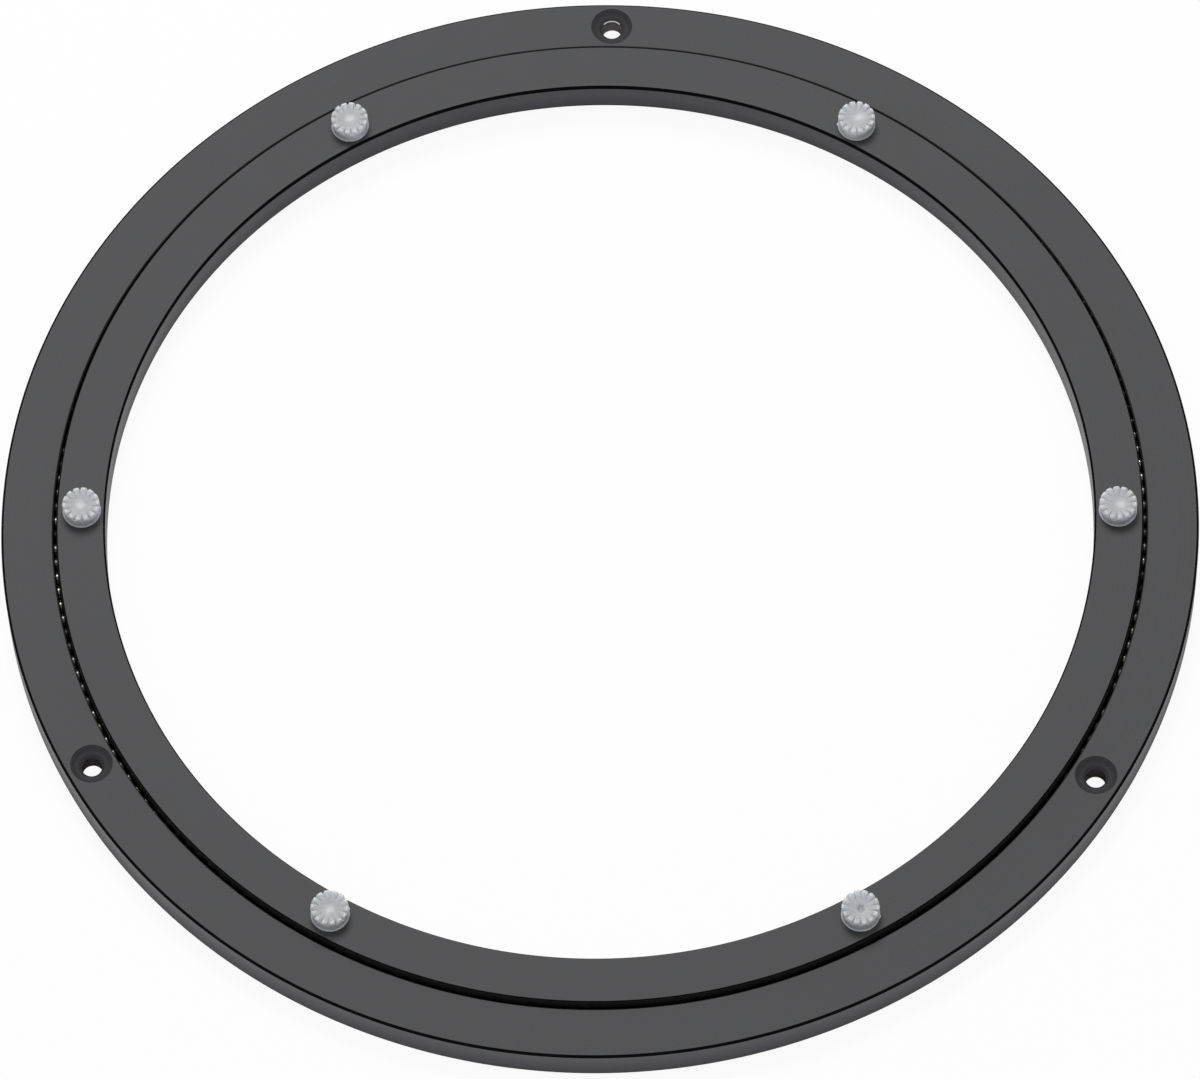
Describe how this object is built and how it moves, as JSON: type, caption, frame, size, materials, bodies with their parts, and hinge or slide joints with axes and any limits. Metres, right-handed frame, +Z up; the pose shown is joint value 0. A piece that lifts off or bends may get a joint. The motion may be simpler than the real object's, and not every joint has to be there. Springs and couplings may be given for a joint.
{
  "type": "lazy susan bearing",
  "caption": "Low turntable bearing: a flat grey aluminium ring with white fluted tray pads turns on a row of balls inside a screw-down outer ring.",
  "frame": {"origin": "centre of the bearing, on the surface that the outer ring stands on", "axes": "+Z up along the turning axis, out of the countersunk side; one screw hole lies on +Y"},
  "size_m": [0.3, 0.3, 0.0159],
  "materials": {
    "anodised_ring": "fine matte anodised",
    "ball_steel": "polished",
    "plug_steel": "satin",
    "pad_plastic": "waxy white"
  },
  "bodies": {
    "fixed_ring": {"outer_ring": "anodised_ring", "loading_plug": "plug_steel"},
    "turning_ring": {"inner_ring": "anodised_ring", "tray_pad_1": "pad_plastic", "tray_pad_2": "pad_plastic", "tray_pad_3": "pad_plastic", "tray_pad_4": "pad_plastic", "tray_pad_5": "pad_plastic", "tray_pad_6": "pad_plastic"},
    "ball_row": {"bearing_balls": "ball_steel"}
  },
  "joints": [
    {"name": "ring_turn", "type": "hinge", "parent": "fixed_ring", "child": "turning_ring", "pos_m": [0, 0, 0.00575], "axis": [0, 0, 1], "continuous": true},
    {"name": "ball_roll", "type": "hinge", "parent": "fixed_ring", "child": "ball_row", "pos_m": [0, 0, 0.00575], "axis": [0, 0, 1], "continuous": true}
  ],
  "couplings": [
    {"joint": "ball_roll", "follows": "ring_turn", "ratio": 0.4948}
  ]
}
